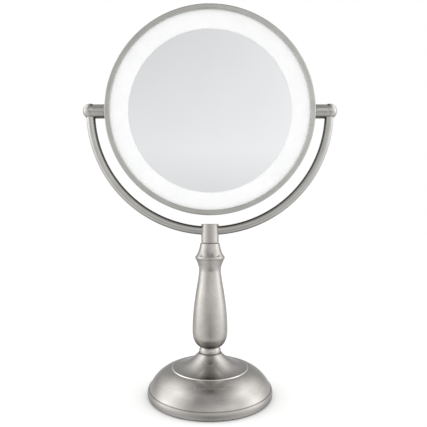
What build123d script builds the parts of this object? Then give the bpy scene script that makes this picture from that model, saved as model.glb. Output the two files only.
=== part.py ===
from build123d import *
import os
from math import acos, asin, cos, degrees, radians, sin, sqrt

# A table-top vanity mirror with a lit ring. A round two-sided head turns about a level axis in a
# half-round yoke of bent tube. The yoke stands on a turned stem and a domed, weighted base, which
# holds four AA cells, a driver board and the push switch. Millimetres, +Z up, front towards -Y.
# The origin is on the table under the middle of the base.

# ---- driving dimensions: head ----
PIVOT_Z = 309.7          # height of the axis that the head turns on
HEAD_R = 114.0           # outside radius of the head
HEAD_HALF = 10.4         # half the head's thickness
BEZEL_OPEN_R = 108.6     # inside edge of the metal ring round the lit ring
BEZEL_WALL = 1.5
BEZEL_CORNER_R = 1.1     # rounding of the bezel's outer corner
BEZEL_LIP_R = 0.5        # rounding of the bezel's inner edge
MIRROR_SHOW_R = 89.2     # visible radius of either mirror
GLASS_R = 90.4
GLASS_T = 2.2
GLASS_GAP = 0.08         # between a diffuser's inner edge and the mirror that it holds
REAR_GLASS_T = 2.0
FRONT_GLASS_FACE = 3.4   # front mirror's face, from the head's middle plane
REAR_GLASS_FACE = 3.7    # magnifying mirror's face at its centre, from the middle plane
REAR_GLASS_CURVE = 884.0  # radius of the magnifying mirror's face
DIFFUSER_FLAT_R = 107.5  # the diffuser slopes inwards from here
FLANGE_IN = 5.55         # the diffusers' flanges lie between these two planes
FLANGE_OUT = 7.55
CARRIER_R = 112.3
CARRIER_IN_R = 106.0
CORE_T = 1.2             # the white plate between the mirrors
STRIP_R = 105.8
STRIP_T = 0.4
STRIP_HALF = 4.0         # half the light strip's width
LEDS_PER_ROW = 30
LED_ROW = 2.2            # each row of chips, from the middle plane
SCREW_ANGLES = (45, 135, 225, 315)
SCREW_DEPTH = 3.8        # the bezel screws, from the middle plane
SCREW_R = 1.0
SCREW_HEAD_R = 1.8
SCREW_SINK = 0.9         # depth of the countersink
SCREW_LENGTH = 6.4

# ---- driving dimensions: yoke and pivots ----
YOKE_R = 131.1           # from the pivot axis to the tube's middle
TUBE_R = 4.75
TUBE_BORE_R = 3.75
TUBE_END_DROP = 4.2      # the tube ends this far below the pivot axis, inside the ball
BALL_R = 8.4
BARREL_R = 7.7
BARREL_IN_X = 115.6      # inner end of the barrel
PASSAGE_R = 3.2          # way for the lead through the ball
BOLT_R = 3.5
BOLT_BORE_R = 2.0
BOLT_HEAD_R = 4.6
BOLT_HEAD_X = 106.2      # where the hollow pivot bolt starts, inside the carrier
BOLT_HEAD_T = 2.5
BOLT_END_X = 125.0
BUSH_R = 4.4
BUSH_FLANGE_T = 0.8
WASHER_OUT_R = 6.8
POCKET_R = 5.0           # room for the bolt's head in the carrier
POCKET_X = 110.3
RUNNING = 0.05           # radial clearance of the pivot in its bush
SNUG = 0.03              # gap between parts that are fixed together

# ---- driving dimensions: stem ----
COLLAR_R = 9.6
COLLAR_TOP = 186.0
COLLAR_EDGE = 0.7
STEM_TOP = 165.1
STEM_BOTTOM = 51.9
STEM_FOOT_R = 10.4
STEM_WIDEST = (19.2, 69.0)  # the stem's outline, as radius and height
STEM_WAIST = (11.9, 134.8)
BEAD_LOW = (15.3, 146.9)
BEAD_HIGH = (15.3, 151.2)
STEM_ROOF = 158.5        # the stem is hollow between these heights
STEM_FLOOR = 58.0
ROD_R = 4.9
ROD_BORE_R = 3.0
ROD_HOLE_R = 5.2
ROD_BOTTOM = 32.0
THREAD_PITCH = 1.0
THREAD_DEPTH = 0.25

# ---- driving dimensions: base ----
SHELL_BOTTOM = 1.5
SHELL_TOP = 46.1
SHELL_T = 1.5
RIM_R = 67.9
DOME_CENTRE = (34.1, -4.8)  # centre of the dome's arc, as radius and height
DOME_R = 34.7
DOME_START = 24.0        # the arc's end angles, in degrees above level
DOME_END = 77.5
STEP_TOP = (40.6, 29.9)   # the flare ends in a small rounded step down to the dome
FLARE = (STEP_TOP, (25.0, 35.1), (12.5, 45.1))
FLARE_IN = ((40.3, 28.3), (24.1, 33.8), (11.0, 43.7))
WASHER_TOP = SHELL_TOP - 2.4  # inside of the shell's crown, which the clamp washer bears on
BASE_SCREW_ANGLES = (30, 150, 270)
BASE_SCREW_PITCH_R = 53.0
BASE_SCREW_R = 1.5
POST_R = 3.6
POST_LOW = 14.3
WEIGHT_IN = 46.0
WEIGHT_OUT = 59.0
PLATE_Z = 1.7            # underside of the base plate
PLATE_T = 2.0
PLATE_R = 66.0
BOX_X = 30.6             # half sizes of the battery bay inside
BOX_Y = 28.0
BOX_WALL = 1.5
BOX_TOP = 19.2
HINGE_X = 19.0           # the battery door's knuckles
HINGE_Y = -29.2
HINGE_Z = 2.7
CELL_R = 7.2
CELL_PITCH = 15.0
CELL_Z = 11.3
CELLS = 4
BOARD_Y = 36.0
BOARD_Z = 6.0
BOARD_T = 1.6
BUTTON_TILT = 50.0       # the switch's axis, in degrees above level
BUTTON_HOLE_R = 6.8
LEAD_R = 1.2

HEAD = Plane(origin=(0, 0, PIVOT_Z), x_dir=(1, 0, 0), z_dir=(0, -1, 0))
PIVOT_AXIS_Y = Axis((0, 0, PIVOT_Z), (0, 1, 0))
X_DIR = (1, 0, 0)
Y_DIR = (0, 1, 0)
Z_DIR = (0, 0, 1)
PARTS = {}


# ---- helpers ----
def save(name, shape):
    """Keeps one node, to be written at the end."""
    PARTS[name] = shape


def spin(*edges):
    """A solid of revolution about Z. Its edges lie in the half plane of radius and height."""
    return revolve(Plane.XZ * make_face(edges), Axis.Z)


def lines(points):
    """Straight edges that join the points in turn."""
    return [Line(a, b) for a, b in zip(points, points[1:])]


def ring(inner, outer, low, high):
    """A plain ring or disc about Z, from low to high."""
    solid = Pos(0, 0, (low + high) / 2) * Cylinder(outer, high - low)
    if inner:
        solid -= Pos(0, 0, (low + high) / 2) * Cylinder(inner, high - low + 2)
    return solid


def along_x(shape):
    """Turns a shape made about Z so that Z becomes X, and puts it on the pivot axis."""
    return Pos(0, 0, PIVOT_Z) * Rot(0, 90, 0) * shape


def x_ring(inner, outer, low, high):
    return along_x(ring(inner, outer, low, high))


def rim_place(angle, radius, depth=0.0):
    """A place on the head's rim: its Z points outwards at that angle, depth is towards the front."""
    a = radians(angle)
    outward = (cos(a), 0, sin(a))
    centre = (radius * cos(a), -depth, PIVOT_Z + radius * sin(a))
    return Location(Plane(origin=centre, x_dir=(0, -1, 0), z_dir=outward))


def both_sides(name, shape):
    """Saves the right-hand piece and its mirror image."""
    save(name + "_right", shape)
    save(name + "_left", mirror(shape, about=Plane.YZ))


def coil(radius, wire, length, turns):
    """A small round-wire spring about Z, from 0 to length."""
    run = length - 2 * wire
    path = Pos(0, 0, wire) * Helix(pitch=run / turns, height=run, radius=radius)
    section = Plane(origin=path @ 0, z_dir=path % 0) * Circle(wire)
    return sweep(section, path=path)


# ---- head ----
def corner_arc(centre, radius, start, end):
    """A rounded corner of an outline, between two angles in degrees."""
    spots = []
    for angle in (start, (start + end) / 2, end):
        a = radians(angle)
        spots.append((centre[0] + radius * cos(a), centre[1] + radius * sin(a)))
    return ThreePointArc(*spots)


def bezel(front):
    """The satin ring: a flat face and a side wall that ends at the head's middle plane."""
    seam = 0.05
    lip_back = FLANGE_OUT + 0.05
    wall_in = HEAD_R - BEZEL_WALL
    corner = (HEAD_R - BEZEL_CORNER_R, HEAD_HALF - BEZEL_CORNER_R)
    lip = (BEZEL_OPEN_R + BEZEL_LIP_R, HEAD_HALF - BEZEL_LIP_R)
    body = spin(
        Line((HEAD_R, seam), (HEAD_R, corner[1])),
        corner_arc(corner, BEZEL_CORNER_R, 0, 90),
        Line((corner[0], HEAD_HALF), (lip[0], HEAD_HALF)),
        corner_arc(lip, BEZEL_LIP_R, 90, 180),
        Line((BEZEL_OPEN_R, lip[1]), (BEZEL_OPEN_R, lip_back)),
        Line((BEZEL_OPEN_R, lip_back), (wall_in, lip_back)),
        Line((wall_in, lip_back), (wall_in, seam)),
        Line((wall_in, seam), (HEAD_R, seam)),
    )
    body = HEAD * (body if front else mirror(body, about=Plane.XY))
    depth = SCREW_DEPTH if front else -SCREW_DEPTH
    for angle in SCREW_ANGLES:
        body -= rim_place(angle, HEAD_R, depth) * rim_screw(SNUG)
    notch = x_ring(0, BUSH_R + 0.1, -HEAD_R - 5, HEAD_R + 5)
    return body - notch


def rim_screw(extra=0.0):
    """A countersunk screw whose head is flush at z 0. Extra widens it to make its hole."""
    head = Pos(0, 0, -SCREW_SINK / 2) * Cone(SCREW_R + extra, SCREW_HEAD_R + extra, SCREW_SINK)
    screw = head + ring(0, SCREW_R + extra, -SCREW_LENGTH - extra, -SCREW_SINK)
    if extra == 0:
        screw -= cross_slot(0, 2.6, 0.5, 0.4)
    return screw


def cross_slot(z, length, width, depth):
    """Two crossed slots, to cut from a screw's head whose top face is at z."""
    slot = Pos(0, 0, z) * Box(length, width, 2 * depth)
    return slot + Pos(0, 0, z) * Box(width, length, 2 * depth)


def carrier():
    """The plastic ring inside the bezels: a channel open outwards, solid at pivots and screws."""
    web = 1.5
    flange = 2.0
    block_long = 12
    half = FLANGE_IN - 0.05
    channel = ring(CARRIER_IN_R, CARRIER_R, -half, half)
    channel -= ring(CARRIER_IN_R + web, CARRIER_R + 1, flange - half, half - flange)
    full = ring(CARRIER_IN_R, CARRIER_R, -half, half)
    middle = (CARRIER_IN_R + CARRIER_R) / 2
    blocks = [(angle, 18) for angle in (0, 180)] + [(angle, 7) for angle in SCREW_ANGLES]
    for angle, wide in blocks:
        block = Rot(0, 0, angle) * Pos(middle, 0, 0) * Box(block_long, wide, 2 * half)
        channel += block & full
    body = HEAD * channel
    for angle in SCREW_ANGLES:
        for depth in (SCREW_DEPTH, -SCREW_DEPTH):
            body -= rim_place(angle, HEAD_R, depth) * rim_screw(SNUG)
    for side in (1, -1):
        low, high = sorted((side * (CARRIER_IN_R - 3), side * POCKET_X))
        body -= x_ring(0, POCKET_R, low, high)
    return body - x_ring(0, BUSH_R + SNUG, -HEAD_R, HEAD_R)


def diffuser(edge, slope_end, slope_mid):
    """An opal ring from the bezel's flange to the mirror's edge. Depths are from the middle plane."""
    foot_r = 91.4
    flange_r = 105.8
    return spin(
        Line((CARRIER_R, FLANGE_OUT), (DIFFUSER_FLAT_R, FLANGE_OUT)),
        Line((DIFFUSER_FLAT_R, FLANGE_OUT), slope_end),
        ThreePointArc(slope_end, slope_mid, (MIRROR_SHOW_R, edge)),
        Line((MIRROR_SHOW_R, edge), (foot_r, edge)),
        Line((foot_r, edge), (flange_r, FLANGE_IN)),
        Line((flange_r, FLANGE_IN), (CARRIER_R, FLANGE_IN)),
        Line((CARRIER_R, FLANGE_IN), (CARRIER_R, FLANGE_OUT)),
    )


def front_diffuser():
    """This ring slopes from the bezel down to the edge of the flat mirror."""
    return HEAD * diffuser(FRONT_GLASS_FACE + GLASS_GAP, (91.0, 5.3), (89.7, 4.8))


def rear_glass_depth(radius):
    """How far behind the middle plane the magnifying mirror's face is at a radius."""
    return REAR_GLASS_FACE + REAR_GLASS_CURVE - sqrt(REAR_GLASS_CURVE**2 - radius**2)


def rear_diffuser():
    """This ring rises to the raised edge of the concave mirror."""
    body = diffuser(rear_glass_depth(GLASS_R) + GLASS_GAP, (91.4, 9.9), (89.8, 9.7))
    return HEAD * mirror(body, about=Plane.XY)


def front_mirror():
    """A flat glass disc with a small ground edge."""
    back = FRONT_GLASS_FACE - GLASS_T
    grind = 0.4
    return HEAD * spin(
        Line((0, back), (GLASS_R, back)),
        Line((GLASS_R, back), (GLASS_R, FRONT_GLASS_FACE - grind)),
        Line((GLASS_R, FRONT_GLASS_FACE - grind), (GLASS_R - grind, FRONT_GLASS_FACE)),
        Line((GLASS_R - grind, FRONT_GLASS_FACE), (0, FRONT_GLASS_FACE)),
        Line((0, FRONT_GLASS_FACE), (0, back)),
    )


def rear_mirror():
    """A concave glass disc of even thickness. The ball that shapes its faces lies with its poles
    level, off the disc, so that the mirror's face is smooth in the middle."""
    ball = Rot(0, -90, 0) * Sphere(REAR_GLASS_CURVE)
    centre = REAR_GLASS_FACE + REAR_GLASS_CURVE
    body = ring(0, GLASS_R, REAR_GLASS_FACE - REAR_GLASS_T - 1, rear_glass_depth(GLASS_R) + 1)
    body = body & (Pos(0, 0, centre - REAR_GLASS_T) * ball)
    body = body - Pos(0, 0, centre) * ball
    return HEAD * mirror(body, about=Plane.XY)


def core_plate():
    """The white plate between the mirrors. It parts the two light chambers and bears the rear mirror."""
    rest_in = 86.5
    rest_out = 88.5
    rest_depth = rear_glass_depth(rest_in) - REAR_GLASS_T - 0.06
    plate = ring(0, STRIP_R - STRIP_T - 0.1, -CORE_T / 2, CORE_T / 2)
    plate += ring(rest_in, rest_out, -rest_depth, 0)
    plate -= Pos(STRIP_R, 0, 0) * Box(16, 20, 5)
    return HEAD * plate


def foam_pads():
    """A foam disc behind the flat mirror and a foam ring behind the magnifying one."""
    low = CORE_T / 2 + 0.02
    save("front_foam_pad", HEAD * ring(0, 84, low, FRONT_GLASS_FACE - GLASS_T - 0.02))
    inner, middle, outer = ((r, rear_glass_depth(r) - REAR_GLASS_T - 0.12) for r in (20, 40, 60))
    rear = spin(
        Line((inner[0], low), (outer[0], low)),
        Line((outer[0], low), outer),
        Line(outer, middle),
        Line(middle, inner),
        Line(inner, (inner[0], low)),
    )
    save("rear_foam_pad", HEAD * mirror(rear, about=Plane.XY))


def led_ring():
    """A flexible strip on the carrier's inner wall, with two rows of chips that face inwards."""
    strip = HEAD * ring(STRIP_R - STRIP_T, STRIP_R, -STRIP_HALF, STRIP_HALF)
    save("led_strip", strip - x_ring(0, 2.6, 90, HEAD_R))
    chip_t, chip_long, chip_wide = 1.2, 2.8, 2.0
    chip_r = STRIP_R - STRIP_T - 0.02 - chip_t / 2
    pitch = 360 / LEDS_PER_ROW
    chips = []
    for row in (-LED_ROW, LED_ROW):
        for i in range(LEDS_PER_ROW):
            chip = Pos(chip_r, 0, row) * Box(chip_t, chip_long, chip_wide)
            chips.append(HEAD * (Rot(0, 0, (i + 0.5) * pitch) * chip))
    save("led_chips", Compound(children=chips))


def build_head():
    save("front_bezel", bezel(True))
    save("rear_bezel", bezel(False))
    save("carrier_ring", carrier())
    save("front_diffuser", front_diffuser())
    save("rear_diffuser", rear_diffuser())
    save("front_mirror", front_mirror())
    save("rear_mirror", rear_mirror())
    save("core_plate", core_plate())
    foam_pads()
    led_ring()
    screws = []
    for angle in SCREW_ANGLES:
        for depth in (SCREW_DEPTH, -SCREW_DEPTH):
            screws.append(rim_place(angle, HEAD_R, depth) * rim_screw())
    save("bezel_screws", Compound(children=screws))


# ---- pivots and yoke ----
def pivots():
    """Each side: a hollow bolt fixed in the yoke's barrel, on which a bush in the head turns."""
    head_end = BOLT_HEAD_X + BOLT_HEAD_T
    bolt = x_ring(BOLT_BORE_R, BOLT_HEAD_R, BOLT_HEAD_X, head_end)
    bolt += x_ring(BOLT_BORE_R, BOLT_R, BOLT_HEAD_X, BOLT_END_X)
    socket = extrude(RegularPolygon(3.0, 6), 1.4)
    bolt -= along_x(Pos(0, 0, BOLT_HEAD_X) * socket)
    both_sides("pivot_bolt", bolt)
    both_sides("wave_washer", x_ring(BOLT_R + 0.1, BOLT_HEAD_R, head_end + 0.05, head_end + 0.6))
    bush_start = head_end + 0.7
    bush = x_ring(BOLT_R + RUNNING, BUSH_R, bush_start, HEAD_R - 0.1)
    bush += x_ring(BOLT_R + RUNNING, POCKET_R - 0.1, bush_start, bush_start + BUSH_FLANGE_T)
    both_sides("pivot_bush", bush)
    washer = x_ring(BOLT_R + 0.1, WASHER_OUT_R, HEAD_R + 0.1, BARREL_IN_X - 0.1)
    both_sides("friction_washer", washer)


def yoke_torus(radius, start, sweep_angle):
    """Part of the yoke's torus. The angle is measured down from level on the right."""
    disc = Pos(YOKE_R, 0, PIVOT_Z) * Circle(radius)
    disc = disc.rotate(PIVOT_AXIS_Y, start)
    return revolve(disc, PIVOT_AXIS_Y, sweep_angle)


def tube_end_angle():
    return degrees(asin(TUBE_END_DROP / YOKE_R))


def yoke_tube():
    """The half-round tube, open at both ends and drilled at the bottom for the lead."""
    end = tube_end_angle()
    span = 180 - 2 * end
    tube = yoke_torus(TUBE_R, end, span) - yoke_torus(TUBE_BORE_R, end - 0.2, span + 0.4)
    tube_floor = PIVOT_Z - YOKE_R
    return tube - ring(0, 2.4, tube_floor - 8, tube_floor)


def pivot_elbow():
    """The right-hand ball and barrel, drilled for the bolt, the tube's end and the lead."""
    elbow = Pos(YOKE_R, 0, PIVOT_Z) * Sphere(BALL_R)
    elbow += x_ring(0, BARREL_R, BARREL_IN_X, YOKE_R)
    elbow -= yoke_torus(TUBE_R + SNUG, tube_end_angle() - 0.02, 30)
    elbow -= x_ring(0, BOLT_R + 0.02, BARREL_IN_X - 1, BOLT_END_X + 0.2)
    elbow -= x_ring(0, PASSAGE_R, BOLT_END_X - 1, YOKE_R)
    elbow -= Pos(YOKE_R, 0, PIVOT_Z) * Sphere(PASSAGE_R)
    return elbow - Pos(YOKE_R, 0, 0) * ring(0, PASSAGE_R, PIVOT_Z - TUBE_END_DROP - 0.5, PIVOT_Z)


def yoke_collar():
    """The short cylinder between the stem and the yoke. The tube lies in its top."""
    corner = (COLLAR_R - COLLAR_EDGE, COLLAR_TOP - COLLAR_EDGE)
    body = spin(
        Line((0, STEM_TOP), (COLLAR_R - 0.4, STEM_TOP)),
        Line((COLLAR_R - 0.4, STEM_TOP), (COLLAR_R, STEM_TOP + 0.5)),
        Line((COLLAR_R, STEM_TOP + 0.5), (COLLAR_R, corner[1])),
        corner_arc(corner, COLLAR_EDGE, 0, 90),
        Line((corner[0], COLLAR_TOP), (0, COLLAR_TOP)),
        Line((0, COLLAR_TOP), (0, STEM_TOP)),
    )
    body -= yoke_torus(TUBE_R + SNUG, 80, 20)
    return body - ring(0, ROD_R + SNUG, STEM_TOP - 1, PIVOT_Z - YOKE_R - TUBE_R + 1)


# ---- stem ----
def stem():
    """The hollow turned column: a long bulb, a waist, a bead and a short cone."""
    top = STEM_TOP - 0.05
    foot = (STEM_FOOT_R, STEM_BOTTOM)
    cone_end = (10.75, top - 0.65)
    bore_r = 9.7
    outside = [
        Bezier(foot, (15.0, 52.9), (STEM_WIDEST[0], 59.5), STEM_WIDEST),
        Bezier(STEM_WIDEST, (STEM_WIDEST[0], 100.0), (12.9, 121.0), STEM_WAIST),
        Bezier(STEM_WAIST, (STEM_WAIST[0], 139.5), (13.6, 142.8), BEAD_LOW),
        ThreePointArc(BEAD_LOW, (16.25, 149.1), BEAD_HIGH),
        Bezier(BEAD_HIGH, (13.5, 153.2), (11.6, 158.0), cone_end),
    ]
    inside = [
        cone_end,
        (10.2, top),
        (ROD_HOLE_R, top),
        (ROD_HOLE_R, STEM_ROOF),
        (7.5, STEM_ROOF),
        (bore_r, 152.0),
        (bore_r, 127.0),
        (16.8, 80.0),
        (16.8, 66.0),
        (9.0, STEM_FLOOR),
        (ROD_HOLE_R, STEM_FLOOR),
        (ROD_HOLE_R, STEM_BOTTOM),
        foot,
    ]
    return spin(*outside, *lines(inside))


def neck_ring():
    """The small moulding between the base and the stem."""
    low = SHELL_TOP + 0.02
    high = STEM_BOTTOM - 0.02
    return spin(
        Line((ROD_HOLE_R, low), (11.9, low)),
        ThreePointArc((11.9, low), (11.7, 48.7), (STEM_FOOT_R, high)),
        Line((STEM_FOOT_R, high), (ROD_HOLE_R, high)),
        Line((ROD_HOLE_R, high), (ROD_HOLE_R, low)),
    )


def tie_rod():
    """The hollow threaded rod. The lead runs up inside it."""
    top = PIVOT_Z - YOKE_R - TUBE_R - 0.3
    rod = ring(ROD_BORE_R, ROD_R, ROD_BOTTOM, top)
    threads = 10
    for i in range(threads):
        z = ROD_BOTTOM + THREAD_PITCH * (i + 1)
        in_nut = WASHER_TOP - 11.0 <= z <= WASHER_TOP - 1
        if not in_nut:
            rod -= ring(ROD_R - THREAD_DEPTH, ROD_R + 1, z, z + THREAD_PITCH / 2)
    return rod


def clamp():
    """Washers and a nut under the shell's crown pull collar, stem and base together on the rod."""
    save("clamp_washer", ring(ROD_HOLE_R, 9.6, WASHER_TOP - 2.05, WASHER_TOP - 0.05))
    lock = ring(ROD_HOLE_R, 8.2, WASHER_TOP - 3.9, WASHER_TOP - 2.1)
    lock -= Pos(6.7, 0, WASHER_TOP - 3) * Rot(25, 0, 0) * Box(5, 0.9, 6)
    save("lock_washer", lock)
    nut_low = WASHER_TOP - 9.2
    nut_high = WASHER_TOP - 3.95
    nut = Pos(0, 0, nut_low) * extrude(RegularPolygon(9.2, 6), nut_high - nut_low)
    save("rod_nut", nut - ring(0, ROD_R + SNUG, nut_low - 1, nut_high + 1))


# ---- base ----
def dome_point(angle, inset=0.0):
    """A point on the dome's arc, or inside it by the inset, as radius and height."""
    a = radians(angle)
    r = DOME_R - inset
    return (DOME_CENTRE[0] + r * cos(a), DOME_CENTRE[1] + r * sin(a))


def dome_arc(inset=0.0):
    middle = (DOME_START + DOME_END) / 2
    return ThreePointArc(*(dome_point(a, inset) for a in (DOME_START, middle, DOME_END)))


def shell_outline():
    """The base's outer line, from the rim's foot up to the neck."""
    rim_foot = (RIM_R - 0.3, SHELL_BOTTOM)
    rim_top = (RIM_R - 0.9, 8.4)
    rim_step = (RIM_R - 2.1, 8.5)
    neck = (12.2, SHELL_TOP)
    return [
        ThreePointArc(rim_foot, (RIM_R, 4.8), rim_top),
        Line(rim_top, rim_step),
        Line(rim_step, dome_point(DOME_START)),
        dome_arc(),
        ThreePointArc(dome_point(DOME_END), (41.3, 29.6), STEP_TOP),
        ThreePointArc(*FLARE),
        Line(FLARE[2], neck),
        Line(neck, (0, SHELL_TOP)),
        Line((0, SHELL_TOP), (0, SHELL_BOTTOM)),
        Line((0, SHELL_BOTTOM), rim_foot),
    ]


def base_solid():
    """The base as if it were solid, to cut other pieces to its outer face."""
    return spin(*shell_outline())


def base_hollow():
    """The room inside the base shell."""
    low = SHELL_BOTTOM - 1
    wall_in = 66.2
    wall_top = 7.2
    return spin(
        Line((0, low), (wall_in, low)),
        Line((wall_in, low), (wall_in, wall_top)),
        Line((wall_in, wall_top), dome_point(DOME_START, SHELL_T)),
        dome_arc(SHELL_T),
        Line(dome_point(DOME_END, SHELL_T), FLARE_IN[0]),
        ThreePointArc(*FLARE_IN),
        Line(FLARE_IN[2], (0, WASHER_TOP)),
        Line((0, WASHER_TOP), (0, low)),
    )


def button_place():
    """The push switch's frame: on the back of the dome, Z along the outward normal."""
    r, z = dome_point(BUTTON_TILT)
    a = radians(BUTTON_TILT)
    return Location(Plane(origin=(0, r, z), x_dir=(1, 0, 0), z_dir=(0, cos(a), sin(a))))


def base_screw_spots():
    for angle in BASE_SCREW_ANGLES:
        a = radians(angle)
        yield Pos(BASE_SCREW_PITCH_R * cos(a), BASE_SCREW_PITCH_R * sin(a), 0)


def base_shell():
    """The spun metal cover, with three screw posts inside and a hole for the switch."""
    outer = base_solid()
    shell = outer - base_hollow()
    for spot in base_screw_spots():
        post = spot * ring(0, POST_R, POST_LOW, 30)
        shell += post & outer
        shell -= spot * ring(0, BASE_SCREW_R + SNUG, POST_LOW - 1, 21)
    shell -= ring(0, ROD_HOLE_R, WASHER_TOP - 1, SHELL_TOP + 1)
    return shell - button_place() * ring(0, BUTTON_HOLE_R, -6, 4)


def base_weight():
    """An iron ring, cut away at the back to make room for the board and the switch."""
    weight = ring(WEIGHT_IN, WEIGHT_OUT, 5.25, POST_LOW - 0.1)
    weight -= Pos(0, 60, 10) * Box(62, 60, 20)
    for spot in base_screw_spots():
        weight -= spot * ring(0, BASE_SCREW_R + 0.3, 0, 20)
    return weight


def base_screws():
    head_low = 1.85
    head_high = 3.6
    screws = []
    for spot in base_screw_spots():
        screw = ring(0, 2.9, head_low, head_high) + ring(0, BASE_SCREW_R, head_high, 20.0)
        screws.append(spot * (screw - cross_slot(head_low, 3.6, 0.8, 0.65)))
    return Compound(children=screws)


def base_plate():
    """The plastic floor of the base, with the battery bay standing on it."""
    top = PLATE_Z + PLATE_T
    plate = ring(0, PLATE_R, PLATE_Z, top)
    for spot in base_screw_spots():
        plate += spot * ring(0, 5.0, PLATE_Z, 5.15)
        plate -= spot * ring(0, 3.1, PLATE_Z - 1, top)
        plate -= spot * ring(0, 1.7, PLATE_Z - 1, 6)
    height = BOX_TOP + BOX_WALL - top
    middle = top + height / 2
    plate += Pos(0, 0, middle) * Box(2 * (BOX_X + BOX_WALL), 2 * (BOX_Y + BOX_WALL), height)
    plate -= Pos(0, 0, BOX_TOP / 2) * Box(2 * BOX_X, 2 * BOX_Y, BOX_TOP)
    plate -= Pos(0, 0, PLATE_Z) * Box(2 * BOX_X, 57, 3.9)
    for side in (1, -1):
        plate -= Pos(side * HINGE_X, HINGE_Y, 2.5) * Box(11, 3.6, 3.4)
    finger_notch = Pos(0, 30, PLATE_Z) * Cylinder(6.0, 2.2)
    plate -= finger_notch
    for x in (-12, 12):
        plate += Pos(x, BOARD_Y + 0.5, 0) * ring(0, 2.4, top, BOARD_Z - 0.05)
    return plate


def battery_door():
    """The door under the base. It swings down on two knuckles at its front edge."""
    door = Pos(0, 0.35, 2.6) * Box(61.0, 55.7, 1.7)
    for side in (1, -1):
        link = Pos(side * HINGE_X, HINGE_Y + 1.0, HINGE_Z) * Box(10, 2.4, 1.4)
        knuckle = Pos(side * HINGE_X, HINGE_Y, HINGE_Z) * Rot(0, 90, 0) * Cylinder(1.0, 10)
        door += link + knuckle
    for i in range(4):
        groove = Pos(0, 20 + 1.8 * i, 1.7) * Box(14, 0.8, 0.9)
        door -= groove
    return door


def battery_fit():
    """Four cells side by side, every other one turned round, with their springs and plates."""
    cells, springs, plates = [], [], []
    for i in range(CELLS):
        x = (i - (CELLS - 1) / 2) * CELL_PITCH
        way = 1 if i % 2 == 0 else -1
        turn = Rot(-90 * way, 0, 0)
        cell = turn * (ring(0, CELL_R, -24.4, 24.6) + ring(0, 2.7, 24.6, 25.9))
        cells.append(Pos(x, 0, CELL_Z) * Pos(0, way * 1.0, 0) * cell)
        spring = turn * (Pos(0, 0, -27.35) * coil(3.2, 0.35, 3.9, 3))
        springs.append(Pos(x, 0, CELL_Z) * spring)
        for end in (1, -1):
            plates.append(Pos(x, end * (BOX_Y - 0.3), CELL_Z) * Box(10, 0.4, 10))
    save("battery_cells", Compound(children=cells))
    save("battery_springs", Compound(children=springs))
    save("battery_contacts", Compound(children=plates))


def driver_board():
    """The LED driver behind the battery bay, on two posts of the base plate."""
    board = Pos(0, BOARD_Y, BOARD_Z + BOARD_T / 2) * Box(34, 9.5, BOARD_T)
    save("driver_board", board)
    top = BOARD_Z + BOARD_T + 0.02
    inductor = Pos(-11, BOARD_Y, 0) * ring(0, 3.2, top, top + 3.4)
    chip = Pos(-3.5, BOARD_Y, top + 0.7) * Box(4.2, 5.0, 1.4)
    capacitor = Pos(9.5, BOARD_Y, 0) * ring(0, 2.5, top, top + 4.6)
    save("driver_components", Compound(children=[inductor, chip, capacitor]))


def switch():
    """A push switch: trim ring, sprung button and the body behind it."""
    place = button_place()
    sleeve = ring(5.8, 6.7, -5.0, 0.9)
    flange = ring(5.8, 8.3, -1.6, 0.9)
    trim = place * flange - base_solid() + place * sleeve
    save("switch_trim", trim)

    crown = 12.0
    cap = Pos(0, 0, 1.7 - crown) * Sphere(crown)
    knob = ring(0, 5.5, -5.4, 2.4) & cap
    knob += ring(0, 6.5, -6.3, -5.3) + ring(0, 1.5, -11.5, -6.3)
    save("power_button", place * knob)

    body = ring(0, 8.0, -15.5, -4.4)
    body -= ring(0, 6.75, -10.5, -4.0) + ring(0, 1.8, -14.5, -10.0)
    for x in (-3, 3):
        body += Pos(x, 0, -16.5) * Box(0.6, 2.4, 2.2)
    save("switch_body", place * body)
    spring = Pos(0, 0, -10.45) * coil(3.0, 0.3, 4.1, 3)
    save("button_spring", place * spring)


# ---- wiring ----
def corner(centre, u, v, radius, start, end):
    """An arc about a centre in the plane of two axes, between two angles in degrees."""
    spots = []
    for angle in (start, (start + end) / 2, end):
        c, s = cos(radians(angle)) * radius, sin(radians(angle)) * radius
        spots.append(tuple(centre[k] + c * u[k] + s * v[k] for k in range(3)))
    return ThreePointArc(*spots)


def wire_along(edges, radius):
    """A round wire that follows the edges."""
    path = Wire(edges)
    section = Plane(origin=path @ 0, z_dir=path % 0) * Circle(radius)
    return sweep(section, path=path)


def on_yoke(angle, radius=YOKE_R):
    """A point on the yoke's curve, at an angle in radians from straight down."""
    return (radius * sin(angle), 0, PIVOT_Z - radius * cos(angle))


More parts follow.
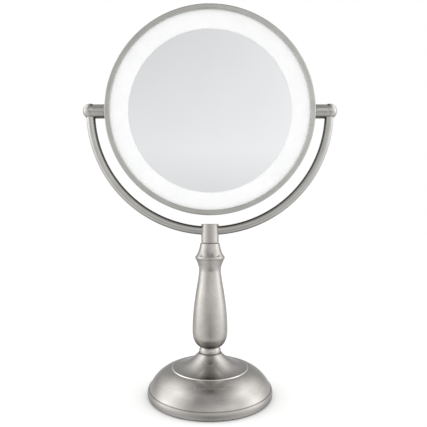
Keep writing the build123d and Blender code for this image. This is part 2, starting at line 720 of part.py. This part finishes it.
def stand_lead():
    """The two-core lead: from the driver up the rod, along the yoke and into the right-hand pivot."""
    start_z = BOARD_Z + BOARD_T + 0.1
    over_z = 25.0            # passes above the battery bay
    bend = 4.0
    tight = 5.0              # bends inside the collar and the ball
    low_turn = asin(tight / (YOKE_R + tight))
    high_turn = acos(tight / (YOKE_R - tight))
    fork_z = PIVOT_Z - (YOKE_R + tight) * cos(low_turn)
    inward = on_yoke(high_turn, YOKE_R - tight)
    in_yoke = [on_yoke(a) for a in (low_turn, (low_turn + high_turn) / 2, high_turn)]
    edges = [
        Line((0, BOARD_Y, start_z), (0, BOARD_Y, over_z - bend)),
        corner((0, BOARD_Y - bend, over_z - bend), Y_DIR, Z_DIR, bend, 0, 90),
        Line((0, BOARD_Y - bend, over_z), (0, bend, over_z)),
        corner((0, bend, over_z + bend), Y_DIR, Z_DIR, bend, 270, 180),
        Line((0, 0, over_z + bend), (0, 0, fork_z)),
        corner((tight, 0, fork_z), X_DIR, Z_DIR, tight, 180, 90 + degrees(low_turn)),
        ThreePointArc(*in_yoke),
        corner(inward, X_DIR, Z_DIR, tight, degrees(high_turn) - 90, 90),
        Line((inward[0], 0, PIVOT_Z), (BOLT_HEAD_X + 0.1, 0, PIVOT_Z)),
    ]
    return wire_along(edges, LEAD_R)


def head_lead():
    """The lead's tail inside the head. It hooks down onto the end of the light strip."""
    pad_x = STRIP_R - STRIP_T - LEAD_R - 0.1
    bend = 1.8
    edges = [
        Line((BOLT_HEAD_X - 0.1, 0, PIVOT_Z), (pad_x + bend, 0, PIVOT_Z)),
        corner((pad_x + bend, 0, PIVOT_Z - bend), X_DIR, Z_DIR, bend, 90, 180),
        Line((pad_x, 0, PIVOT_Z - bend), (pad_x, 0, PIVOT_Z - 7.5)),
    ]
    return wire_along(edges, LEAD_R * 0.8)


build_head()
pivots()
save("yoke_tube", yoke_tube())
both_sides("pivot_elbow", pivot_elbow())
save("yoke_collar", yoke_collar())
save("stem", stem())
save("neck_ring", neck_ring())
save("tie_rod", tie_rod())
clamp()
save("base_shell", base_shell())
save("base_weight", base_weight())
save("base_screws", base_screws())
save("foot_ring", ring(59.5, 64.5, 0, PLATE_Z - 0.02))
save("base_plate", base_plate())
save("battery_door", battery_door())
battery_fit()
driver_board()
switch()
save("stand_lead", stand_lead())
save("head_lead", head_lead())

os.makedirs("parts", exist_ok=True)
for node, solid in PARTS.items():
    export_step(solid, f"parts/{node}.step")
print(len(PARTS), "nodes written")
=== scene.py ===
import math

import bpy
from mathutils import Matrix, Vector


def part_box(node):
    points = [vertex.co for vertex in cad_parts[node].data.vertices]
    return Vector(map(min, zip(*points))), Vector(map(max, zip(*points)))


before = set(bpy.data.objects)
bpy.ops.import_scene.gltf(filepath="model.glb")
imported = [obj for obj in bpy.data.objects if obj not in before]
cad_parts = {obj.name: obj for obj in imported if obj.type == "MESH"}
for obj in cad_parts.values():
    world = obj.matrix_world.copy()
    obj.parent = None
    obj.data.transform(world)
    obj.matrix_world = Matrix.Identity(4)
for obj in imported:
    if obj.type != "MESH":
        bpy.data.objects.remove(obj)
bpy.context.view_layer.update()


# ---- places taken from the frame ----
def middle(node):
    """The centre of a CAD node's box."""
    low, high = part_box(node)
    return (low + high) / 2


PIVOT = Vector((0, 0, middle("carrier_ring").z))
MM = 0.001


# ---- camera ----
CAMERA_PLACE = (0, -0.4554, 0.1867)
LENS = 34.9
SHIFT = (0.0082, 0.023)


def make_camera():
    """A level camera in front of the mirror. Its small shift frames the mirror's full height."""
    data = bpy.data.cameras.new("camera")
    data.lens = LENS
    data.shift_x, data.shift_y = SHIFT
    data.clip_start = 0.01
    data.clip_end = 50
    camera = bpy.data.objects.new("camera", data)
    camera.location = CAMERA_PLACE
    camera.rotation_euler = (math.radians(90), 0, 0)
    bpy.context.scene.collection.objects.link(camera)
    bpy.context.scene.camera = camera


# ---- studio ----
# Radiance of the studio all round: a tall soft light on each side, a dim front and a dark ceiling.
# Azimuth 0 is in front, behind the camera, and positive is to the right. Each row is an elevation in
# degrees, -90 straight down, and the radiance there at each azimuth.
AZIMUTHS = (-180, -150, -120, -90, -60, -30, 0, 30, 60, 90, 120, 150, 180)
STUDIO = (
    (-90, (0.40,) * 13),
    (-45, (0.10, 0.15, 0.45, 0.80, 0.90, 0.80, 0.62, 0.80, 0.90, 0.80, 0.45, 0.15, 0.10)),
    (-15, (0.60, 0.62, 0.70, 1.10, 1.00, 0.72, 0.38, 0.65, 1.00, 1.10, 0.72, 0.65, 0.60)),
    (10, (0.42, 0.40, 0.70, 2.10, 1.30, 0.76, 0.86, 0.98, 1.25, 2.05, 0.90, 0.42, 0.42)),
    (30, (0.30, 0.55, 1.15, 1.70, 1.05, 0.56, 0.70, 0.98, 1.05, 1.60, 1.20, 0.57, 0.30)),
    (50, (0.03, 0.90, 1.50, 1.85, 1.15, 0.34, 0.52, 0.36, 1.10, 1.75, 1.50, 0.90, 0.03)),
    (70, (0.02, 0.30, 0.58, 0.58, 0.56, 0.40, 0.52, 0.37, 0.50, 0.58, 0.52, 0.30, 0.02)),
    (90, (0.03,) * 13),
)


def studio_row(tree, azimuth, values):
    """A colour ramp that gives one row of the table all round."""
    ramp = tree.nodes.new("ShaderNodeValToRGB")
    ramp.color_ramp.interpolation = "LINEAR"
    stops = ramp.color_ramp.elements
    while len(stops) < len(AZIMUTHS):
        stops.new(0.5)
    for stop, angle, value in zip(stops, AZIMUTHS, values):
        stop.position = (angle + 180) / 360
        stop.color = (value, value, value, 1)
    tree.links.new(azimuth, ramp.inputs["Fac"])
    return ramp.outputs["Color"]


def angle_share(tree, angle, low, high):
    """How far an angle has gone from low to high, both in degrees."""
    place = tree.nodes.new("ShaderNodeMapRange")
    place.inputs["From Min"].default_value = math.radians(low)
    place.inputs["From Max"].default_value = math.radians(high)
    tree.links.new(angle, place.inputs["Value"])
    return place.outputs["Result"]


def studio_light(tree):
    """The table as light from every direction, blended from row to row."""
    direction = tree.nodes.new("ShaderNodeTexCoord")
    split = tree.nodes.new("ShaderNodeSeparateXYZ")
    tree.links.new(direction.outputs["Generated"], split.inputs["Vector"])
    height = tree.nodes.new("ShaderNodeMath")
    height.operation = "ARCSINE"
    tree.links.new(split.outputs["Z"], height.inputs[0])
    forward = tree.nodes.new("ShaderNodeMath")
    forward.operation = "MULTIPLY"
    forward.inputs[1].default_value = -1
    tree.links.new(split.outputs["Y"], forward.inputs[0])
    turn = tree.nodes.new("ShaderNodeMath")
    turn.operation = "ARCTAN2"
    tree.links.new(split.outputs["X"], turn.inputs[0])
    tree.links.new(forward.outputs[0], turn.inputs[1])
    azimuth = angle_share(tree, turn.outputs[0], -180, 180)
    light = studio_row(tree, azimuth, STUDIO[0][1])
    for (low, _), (high, values) in zip(STUDIO, STUDIO[1:]):
        mix = tree.nodes.new("ShaderNodeMix")
        mix.data_type = "RGBA"
        tree.links.new(angle_share(tree, height.outputs[0], low, high), mix.inputs[0])
        tree.links.new(light, mix.inputs[6])
        tree.links.new(studio_row(tree, azimuth, values), mix.inputs[7])
        light = mix.outputs[2]
    return light


def make_world():
    """Light and reflections come from the table. The camera itself sees a plain white backdrop."""
    world = bpy.data.worlds.new("studio")
    bpy.context.scene.world = world
    world.use_nodes = True
    tree = world.node_tree
    tree.nodes.clear()
    lit = tree.nodes.new("ShaderNodeBackground")
    tree.links.new(studio_light(tree), lit.inputs["Color"])
    seen = tree.nodes.new("ShaderNodeBackground")
    seen.inputs["Color"].default_value = (1, 1, 1, 1)
    ray = tree.nodes.new("ShaderNodeLightPath")
    mix = tree.nodes.new("ShaderNodeMixShader")
    tree.links.new(ray.outputs["Is Camera Ray"], mix.inputs["Fac"])
    tree.links.new(lit.outputs["Background"], mix.inputs[1])
    tree.links.new(seen.outputs["Background"], mix.inputs[2])
    out = tree.nodes.new("ShaderNodeOutputWorld")
    tree.links.new(mix.outputs["Shader"], out.inputs["Surface"])


def make_floor():
    """A wide pale table top. It takes the lamp's soft shadow but isn't seen in the metal."""
    bpy.ops.mesh.primitive_circle_add(vertices=128, radius=6.0, fill_type="NGON", location=(0, 0, 0))
    floor = bpy.context.object
    floor.name = "studio_floor"
    floor.visible_glossy = False
    tree = Tree("studio_floor")
    tree.set(Roughness=0.9, Specular=0.0)
    tree.surface.inputs["Base Color"].default_value = (0.93, 0.93, 0.925, 1)
    floor.data.materials.append(tree.material)


def top_light():
    """Very soft light from straight above, for the table top. It isn't seen in the metal."""
    data = bpy.data.lights.new("top_light", "SUN")
    data.energy = 1.2
    data.angle = math.radians(120)
    light = bpy.data.objects.new("top_light", data)
    light.location = (0, 0, 3)
    light.visible_glossy = False
    bpy.context.scene.collection.objects.link(light)


def make_studio():
    scene = bpy.context.scene
    scene.view_settings.view_transform = "Standard"
    make_world()
    make_floor()
    top_light()


# ---- materials ----
class Tree:
    """One material's node tree, with short calls that add and join nodes."""

    NAMES = {"Specular": "Specular IOR Level", "Coat": "Coat Weight", "Glow": "Emission Strength"}

    def __init__(self, name):
        self.material = bpy.data.materials.new(name)
        self.material.use_nodes = True
        self.nodes = self.material.node_tree.nodes
        self.links = self.material.node_tree.links
        self.surface = self.nodes["Principled BSDF"]

    def set(self, **values):
        """Sets the surface's inputs by name, or by a short name for it."""
        for name, value in values.items():
            self.surface.inputs[self.NAMES.get(name, name)].default_value = value

    def node(self, kind, **settings):
        made = self.nodes.new("ShaderNode" + kind)
        for key, value in settings.items():
            setattr(made, key, value)
        return made

    def feed(self, made, index, value):
        """Joins a socket to an input, or sets the input to a plain number."""
        if isinstance(value, bpy.types.NodeSocket):
            self.links.new(value, made.inputs[index])
        else:
            made.inputs[index].default_value = value

    def math(self, operation, a, b=0.0):
        made = self.node("Math", operation=operation)
        self.feed(made, 0, a)
        self.feed(made, 1, b)
        return made.outputs[0]

    def rest_position(self):
        """Where a point is in the row's frame with the object at rest."""
        return self.node("TexCoord").outputs["Object"]

    def noise(self, vector, scale, detail=2.0, w=None):
        made = self.node("TexNoise")
        made.inputs["Scale"].default_value = scale
        made.inputs["Detail"].default_value = detail
        self.links.new(vector, made.inputs["Vector"])
        if w is not None:
            made.noise_dimensions = "4D"
            self.links.new(w, made.inputs["W"])
        return made.outputs["Fac"]

    def stretch(self, value, low, high, from_low=0.3, from_high=0.7):
        """Maps a noise value to a range."""
        made = self.node("MapRange")
        self.links.new(value, made.inputs["Value"])
        limits = {"From Min": from_low, "From Max": from_high, "To Min": low, "To Max": high}
        for name, number in limits.items():
            made.inputs[name].default_value = number
        return made.outputs["Result"]

    def blend(self, factor, colour_a, colour_b):
        """A colour between two colours."""
        made = self.node("Mix", data_type="RGBA")
        self.feed(made, 0, factor)
        for index, colour in ((6, colour_a), (7, colour_b)):
            self.feed(made, index, colour if isinstance(colour, bpy.types.NodeSocket) else (*colour, 1))
        return made.outputs[2]

    def colour(self, socket):
        self.links.new(socket, self.surface.inputs["Base Color"])

    def rough(self, socket):
        self.links.new(socket, self.surface.inputs["Roughness"])

    def bump(self, height, depth, strength=1.0, under=None):
        """Adds relief of this depth in metres. Under is an earlier relief that it lies on."""
        made = self.node("Bump")
        made.inputs["Strength"].default_value = strength
        made.inputs["Distance"].default_value = depth
        self.links.new(height, made.inputs["Height"])
        if under is not None:
            self.links.new(under, made.inputs["Normal"])
        self.links.new(made.outputs["Normal"], self.surface.inputs["Normal"])
        return made.outputs["Normal"]


AXES = {"X": ("Y", "Z", "X"), "Y": ("X", "Z", "Y"), "Z": ("X", "Y", "Z")}


def from_axis(tree, centre, axis):
    """A point's two coordinates across an axis through the centre, and the one along it."""
    offset = tree.node("VectorMath", operation="SUBTRACT")
    tree.feed(offset, 0, tree.rest_position())
    tree.feed(offset, 1, centre)
    split = tree.node("SeparateXYZ")
    tree.links.new(offset.outputs[0], split.inputs[0])
    return [split.outputs[name] for name in AXES[axis]]


def lathe_measures(tree, centre, axis):
    """How far a point is along the axis, and how far from it."""
    u, v, along = from_axis(tree, centre, axis)
    flat = tree.math("ADD", tree.math("MULTIPLY", u, u), tree.math("MULTIPLY", v, v))
    return along, tree.math("SQRT", flat)


def lathe_lines(tree, centre, axis, pitch, run):
    """Noise in fine rings round an axis, as a lathe or a buffing belt leaves. Pitch is between rings.
    Run is how far a ring keeps the same value, at a radius of 1 m."""
    u, v, along = from_axis(tree, centre, axis)
    radius = lathe_measures(tree, centre, axis)[1]
    place = tree.node("CombineXYZ")
    tree.feed(place, 0, tree.math("DIVIDE", tree.math("DIVIDE", u, radius), run))
    tree.feed(place, 1, tree.math("DIVIDE", tree.math("DIVIDE", v, radius), run))
    tree.feed(place, 2, tree.math("DIVIDE", radius, pitch))
    return tree.noise(place.outputs[0], 1.0, detail=3.0, w=tree.math("DIVIDE", along, pitch))


def nearness(tree, value, centre, reach):
    """1 where the value is at the centre, falling smoothly to 0 at the reach."""
    away = tree.math("ABSOLUTE", tree.math("SUBTRACT", value, centre))
    return tree.stretch(away, 1.0, 0.0, 0.0, reach)


WARM_NICKEL = ((0.50, 0.48, 0.455), (0.58, 0.56, 0.535), (0.44, 0.42, 0.395))
COOL_NICKEL = ((0.515, 0.505, 0.48), (0.595, 0.59, 0.565), (0.455, 0.447, 0.425))


def satin_nickel(name, centre, axis, run=0.25, roughness=0.22, tints=WARM_NICKEL, marks=()):
    """Brushed and plated nickel: dull and clear blotches, the first two tints, under fine rings round
    the axis in the third. Each mark is a band of painted shade or painted highlight laid over the tint:
    what it's measured along, its centre, its reach and its shade."""
    tree = Tree(name)
    tree.set(Metallic=1.0, Anisotropic=0.35)
    where = tree.rest_position()
    fine = lathe_lines(tree, centre, axis, 0.35 * MM, run)
    coarse = lathe_lines(tree, centre, axis, 1.6 * MM, run)
    blotch = tree.noise(where, 60, detail=4.0)
    speck = tree.noise(where, 900, detail=2.0)
    tint = tree.blend(tree.stretch(blotch, 0.0, 1.0), tints[0], tints[1])
    tint = tree.blend(tree.stretch(coarse, 0.0, 0.35), tint, tints[2])
    along, radius = lathe_measures(tree, centre, axis)
    for measure, place, reach, shade in marks:
        value = along if measure == "along" else radius
        tint = tree.blend(nearness(tree, value, place, reach), tint, shade)
    tree.colour(tint)
    level = tree.math("ADD", tree.stretch(blotch, -0.03, 0.03), tree.stretch(fine, -0.045, 0.045))
    level = tree.math("ADD", level, tree.stretch(speck, -0.02, 0.02))
    tree.rough(tree.math("ADD", level, roughness))
    relief = tree.bump(fine, 0.012 * MM, 0.6)
    tree.bump(speck, 0.01 * MM, 0.4, under=relief)
    return tree.material


def mirror_glass():
    """Silvered glass: a clean reflection with a trace of dust and wiping marks."""
    tree = Tree("mirror_glass")
    tree.set(Metallic=1.0)
    where = tree.rest_position()
    haze = tree.noise(where, 14, detail=3.0)
    dust = tree.noise(where, 1200, detail=1.0)
    tree.colour(tree.blend(tree.stretch(haze, 0.0, 1.0), (0.93, 0.945, 0.955), (0.95, 0.965, 0.975)))
    tree.rough(tree.math("ADD", tree.stretch(haze, 0.004, 0.02), tree.stretch(dust, 0.0, 0.02, 0.62, 0.75)))
    return tree.material


def opal_acrylic():
    """Frosted acrylic, lit from behind, with faint clouds in it."""
    tree = Tree("opal_acrylic")
    tree.set(Roughness=0.38, IOR=1.49)
    where = tree.rest_position()
    cloud = tree.noise(where, 45, detail=2.0)
    frost = tree.noise(where, 2600, detail=2.0)
    white = tree.blend(tree.stretch(cloud, 0.0, 1.0), (0.86, 0.87, 0.87), (0.9, 0.905, 0.9))
    tree.colour(white)
    glow = tree.blend(tree.stretch(cloud, 0.0, 1.0), (1.0, 0.995, 0.985), (0.995, 1.0, 0.99))
    tree.links.new(glow, tree.surface.inputs["Emission Color"])
    tree.set(Glow=0.04)
    tree.bump(frost, 0.02 * MM, 0.5)
    return tree.material


def moulded_plastic(name, dark, light, roughness, grain_scale, relief, gloss):
    """A moulded or cast material with a fine grain. Its relief is in millimetres."""
    tree = Tree(name)
    tree.set(Specular=gloss)
    where = tree.rest_position()
    flow = tree.noise(where, 35, detail=2.0)
    grain = tree.noise(where, grain_scale, detail=3.0)
    tree.colour(tree.blend(tree.stretch(flow, 0.0, 1.0), dark, light))
    tree.rough(tree.stretch(grain, roughness - 0.07, roughness + 0.07))
    tree.bump(grain, relief * MM, 0.7)
    return tree.material


def plated_steel(name, dark, light, roughness, mottle_scale):
    """Small hardware: zinc plate, spring wire or brass, with a faint mottle."""
    tree = Tree(name)
    tree.set(Metallic=1.0)
    where = tree.rest_position()
    mottle = tree.noise(where, mottle_scale, detail=4.0)
    tree.colour(tree.blend(tree.stretch(mottle, 0.0, 1.0), dark, light))
    tree.rough(tree.stretch(mottle, roughness + 0.08, roughness - 0.06))
    tree.bump(mottle, 0.02 * MM, 0.4)
    return tree.material


def circuit_board():
    """Green solder mask with a faint weave under it."""
    tree = Tree("circuit_board")
    tree.set(Roughness=0.32, Coat=0.3)
    where = tree.rest_position()
    weave = tree.noise(where, 1500, detail=1.0)
    tree.colour(tree.blend(tree.stretch(weave, 0.0, 1.0), (0.02, 0.13, 0.06), (0.03, 0.2, 0.09)))
    tree.bump(weave, 0.02 * MM, 0.4)
    return tree.material


CELL_SLEEVE_END = 24.2 * MM  # how far from the middle the sleeves reach
CELL_BAND_START = 9 * MM


def cell_jacket():
    """A plain two-colour sleeve, with bare metal at both ends of each cell."""
    tree = Tree("cell_jacket")
    split = tree.node("SeparateXYZ")
    tree.links.new(tree.rest_position(), split.inputs[0])
    along = tree.math("ABSOLUTE", split.outputs["Y"])
    ends = tree.math("GREATER_THAN", along, CELL_SLEEVE_END)
    band = tree.math("GREATER_THAN", split.outputs["Y"], CELL_BAND_START)
    scuff = tree.noise(tree.rest_position(), 400, detail=3.0)
    green = tree.blend(tree.stretch(scuff, 0.0, 1.0), (0.02, 0.1, 0.05), (0.03, 0.13, 0.07))
    sleeve = tree.blend(band, green, (0.55, 0.3, 0.14))
    tree.colour(tree.blend(ends, sleeve, (0.6, 0.6, 0.6)))
    tree.links.new(ends, tree.surface.inputs["Metallic"])
    tree.rough(tree.stretch(scuff, 0.3, 0.45))
    return tree.material


def glow_material(name, colour, strength):
    """A lit LED: it gives off its own, faintly mottled colour."""
    tree = Tree(name)
    tree.set(Roughness=0.3)
    mottle = tree.noise(tree.rest_position(), 900)
    warm = tuple(c * 0.93 for c in colour)
    shade = tree.blend(tree.stretch(mottle, 0.0, 1.0), colour, warm)
    tree.colour(shade)
    tree.links.new(shade, tree.surface.inputs["Emission Color"])
    tree.set(Glow=strength)
    return tree.material


def paint(material, *nodes):
    """Gives CAD nodes a material in all their slots."""
    for name in nodes:
        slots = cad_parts[name].data.materials
        slots.clear()
        slots.append(material)


# Shades and places of the marks painted on the nickel: painted shade under the stem's bulb, in the base's
# neck groove, round the base's rim and on the yoke's inner side, and a painted highlight on the base's
# step. Places are distances from the piece's own axis.
PAINTED_SHADE = (0.03, 0.028, 0.026)
PAINTED_HIGHLIGHT = (0.9, 0.89, 0.87)
PAINTED_RIM_SHADE = (0.4, 0.385, 0.37)
BULB_SHADE_REACH = 12 * MM         # how far the painted shade under the stem's bulb climbs
NECK_R = 12.0 * MM
STEP_R = 41.3 * MM
RIM_R = 67.9 * MM
YOKE_INNER_R = 126.0 * MM

# Each moulded material: dark tint, light tint, roughness, grain, relief in mm and gloss, then its nodes.
MOULDED = {
    "white_plastic": (
        ((0.8, 0.8, 0.79), (0.85, 0.85, 0.84), 0.42, 700, 0.02, 0.5),
        ("carrier_ring", "core_plate"),
    ),
    "white_nylon": (
        ((0.86, 0.86, 0.84), (0.9, 0.9, 0.88), 0.36, 500, 0.015, 0.5),
        ("pivot_bush_left", "pivot_bush_right", "friction_washer_left", "friction_washer_right"),
    ),
    "black_plastic": (
        ((0.018, 0.018, 0.019), (0.028, 0.028, 0.029), 0.5, 900, 0.04, 0.5),
        ("base_plate", "battery_door", "switch_body"),
    ),
    "black_rubber": (
        ((0.014, 0.014, 0.014), (0.024, 0.024, 0.024), 0.78, 600, 0.05, 0.3),
        ("foot_ring",),
    ),
    "foam": (
        ((0.74, 0.74, 0.72), (0.82, 0.82, 0.8), 0.9, 1800, 0.12, 0.2),
        ("front_foam_pad", "rear_foam_pad"),
    ),
    "lead_sheath": (
        ((0.78, 0.78, 0.76), (0.84, 0.84, 0.82), 0.5, 800, 0.01, 0.5),
        ("stand_lead", "head_lead"),
    ),
    "component_black": (
        ((0.02, 0.02, 0.02), (0.035, 0.035, 0.035), 0.45, 1500, 0.02, 0.5),
        ("driver_components",),
    ),
    "ballast_iron": (
        ((0.05, 0.05, 0.05), (0.1, 0.1, 0.1), 0.7, 260, 0.3, 0.5),
        ("base_weight",),
    ),
}

# Each kind of hardware: dark tint, light tint, roughness and mottle, then its nodes.
HARDWARE = {
    "zinc_steel": (
        ((0.5, 0.5, 0.5), (0.66, 0.66, 0.65), 0.32, 350),
        ("bezel_screws", "pivot_bolt_left", "pivot_bolt_right", "tie_rod", "clamp_washer", "base_screws"),
    ),
    "spring_steel": (
        ((0.42, 0.42, 0.42), (0.55, 0.55, 0.55), 0.22, 500),
        (
            "wave_washer_left", "wave_washer_right", "lock_washer", "button_spring",
            "battery_springs", "battery_contacts",
        ),
    ),
    "brass": (
        ((0.62, 0.42, 0.14), (0.76, 0.56, 0.24), 0.3, 400),
        ("rod_nut",),
    ),
}


def paint_stand_nickel():
    """The turned pieces, with rings round the upright axis."""
    axis = ((0, 0, 0), "Z")
    # painted shade: the stem is darkened from its lowest point up under its bulb
    under_bulb = ("along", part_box("stem")[0].z, BULB_SHADE_REACH, PAINTED_SHADE)
    paint(satin_nickel("satin_nickel_stem", *axis, marks=[under_bulb]), "stem")
    paint(satin_nickel("satin_nickel_turned", *axis), "neck_ring", "yoke_collar")
    # painted shade: a dark line in the groove round the base's neck
    neck_shade = ("radius", NECK_R, 1.3 * MM, PAINTED_SHADE)
    # painted highlight: a bright line on the step where the flare meets the dome
    step_highlight = ("radius", STEP_R, 0.8 * MM, PAINTED_HIGHLIGHT)
    # painted shade: a darker band round the base's rim
    rim = ("radius", RIM_R, 1.4 * MM, PAINTED_RIM_SHADE)
    paint(satin_nickel("satin_nickel_base", *axis, marks=[neck_shade, step_highlight, rim]), "base_shell")
    switch = satin_nickel("satin_nickel_switch", tuple(middle("power_button")), "X", run=0.8)
    paint(switch, "switch_trim", "power_button")


def paint_head_nickel():
    """The bezels, yoke and barrels, in a cooler tint than the stand."""
    pivot = tuple(PIVOT)
    cool = COOL_NICKEL
    bezel = satin_nickel("satin_nickel_bezel", pivot, "Y", run=0.12, tints=cool)
    paint(bezel, "front_bezel", "rear_bezel")
    # painted shade: the yoke tube's inner side is darkened, standing in for a dark reflection
    inner_side_shade = ("radius", YOKE_INNER_R, 3.0 * MM, PAINTED_SHADE)
    yoke = satin_nickel("satin_nickel_yoke", pivot, "Y", run=0.3, tints=cool, marks=[inner_side_shade])
    paint(yoke, "yoke_tube")
    barrel = satin_nickel("satin_nickel_barrel", pivot, "X", run=0.5, roughness=0.18, tints=cool)
    paint(barrel, "pivot_elbow_left", "pivot_elbow_right")


def paint_everything():
    paint_stand_nickel()
    paint_head_nickel()
    paint(mirror_glass(), "front_mirror", "rear_mirror")
    paint(opal_acrylic(), "front_diffuser", "rear_diffuser")
    for name, (dark_to_gloss, nodes) in MOULDED.items():
        paint(moulded_plastic(name, *dark_to_gloss), *nodes)
    for name, (dark_to_mottle, nodes) in HARDWARE.items():
        paint(plated_steel(name, *dark_to_mottle), *nodes)
    paint(circuit_board(), "driver_board", "led_strip")
    paint(glow_material("led_phosphor", (1.0, 0.97, 0.86), 2.0), "led_chips")
    paint(cell_jacket(), "battery_cells")


make_camera()
make_studio()
paint_everything()
